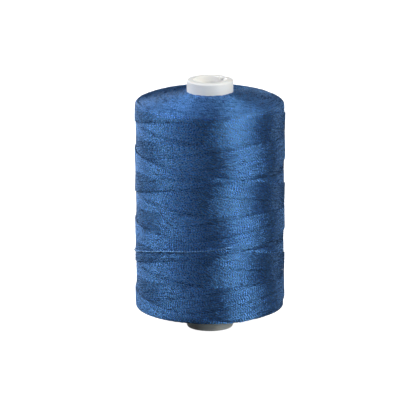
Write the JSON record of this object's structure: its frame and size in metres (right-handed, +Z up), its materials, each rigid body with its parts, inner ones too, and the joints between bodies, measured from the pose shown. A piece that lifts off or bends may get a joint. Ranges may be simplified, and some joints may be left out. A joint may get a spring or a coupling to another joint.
{
  "type": "spool of sewing thread",
  "caption": "Straight hollow plastic tube wound with crossing layers of blue sewing thread, made to turn on or rest over a spool pin.",
  "frame": {"origin": "centre of the lower rim of the tube, on the surface that the spool stands on", "axes": "+Z up along the tube's axis; -Y is the front; the notch in the upper rim is on the +X +Y side"},
  "size_m": [0.0411, 0.0411, 0.07],
  "materials": {
    "tube_plastic": "satin",
    "thread": "satin",
    "thread_end": "satin"
  },
  "bodies": {
    "root": {"core_tube": "tube_plastic", "inner_winding": "thread", "middle_winding": "thread", "outer_winding": "thread", "last_wrap": "thread_end"}
  },
  "joints": []
}
